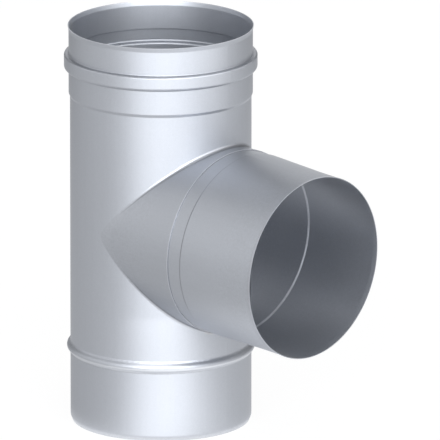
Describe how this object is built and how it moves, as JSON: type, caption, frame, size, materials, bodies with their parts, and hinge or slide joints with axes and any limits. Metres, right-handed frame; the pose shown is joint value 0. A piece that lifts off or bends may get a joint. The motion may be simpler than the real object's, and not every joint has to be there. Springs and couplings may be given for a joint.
{
  "type": "duct tee",
  "caption": "Single-wall stainless duct tee: a round tube with a socket, clamp band and stop bead, and a welded side branch of the same size that slopes slightly down.",
  "frame": {"origin": "on the main tube's axis, in the plane of its lower rim, which it stands on", "axes": "+Z along the main tube, from the plain end to the socket; +X towards the branch's mouth; +Y across the branch"},
  "size_m": [0.2582, 0.1612, 0.3392],
  "materials": {
    "tube_sheet": "satin stainless sheet",
    "collar_sheet": "satin stainless sheet with a dressed fillet weld",
    "branch_sheet": "satin stainless sheet"
  },
  "bodies": {
    "root": {"main_tube": "tube_sheet", "saddle_collar": "collar_sheet", "branch_socket": "branch_sheet"}
  },
  "joints": []
}
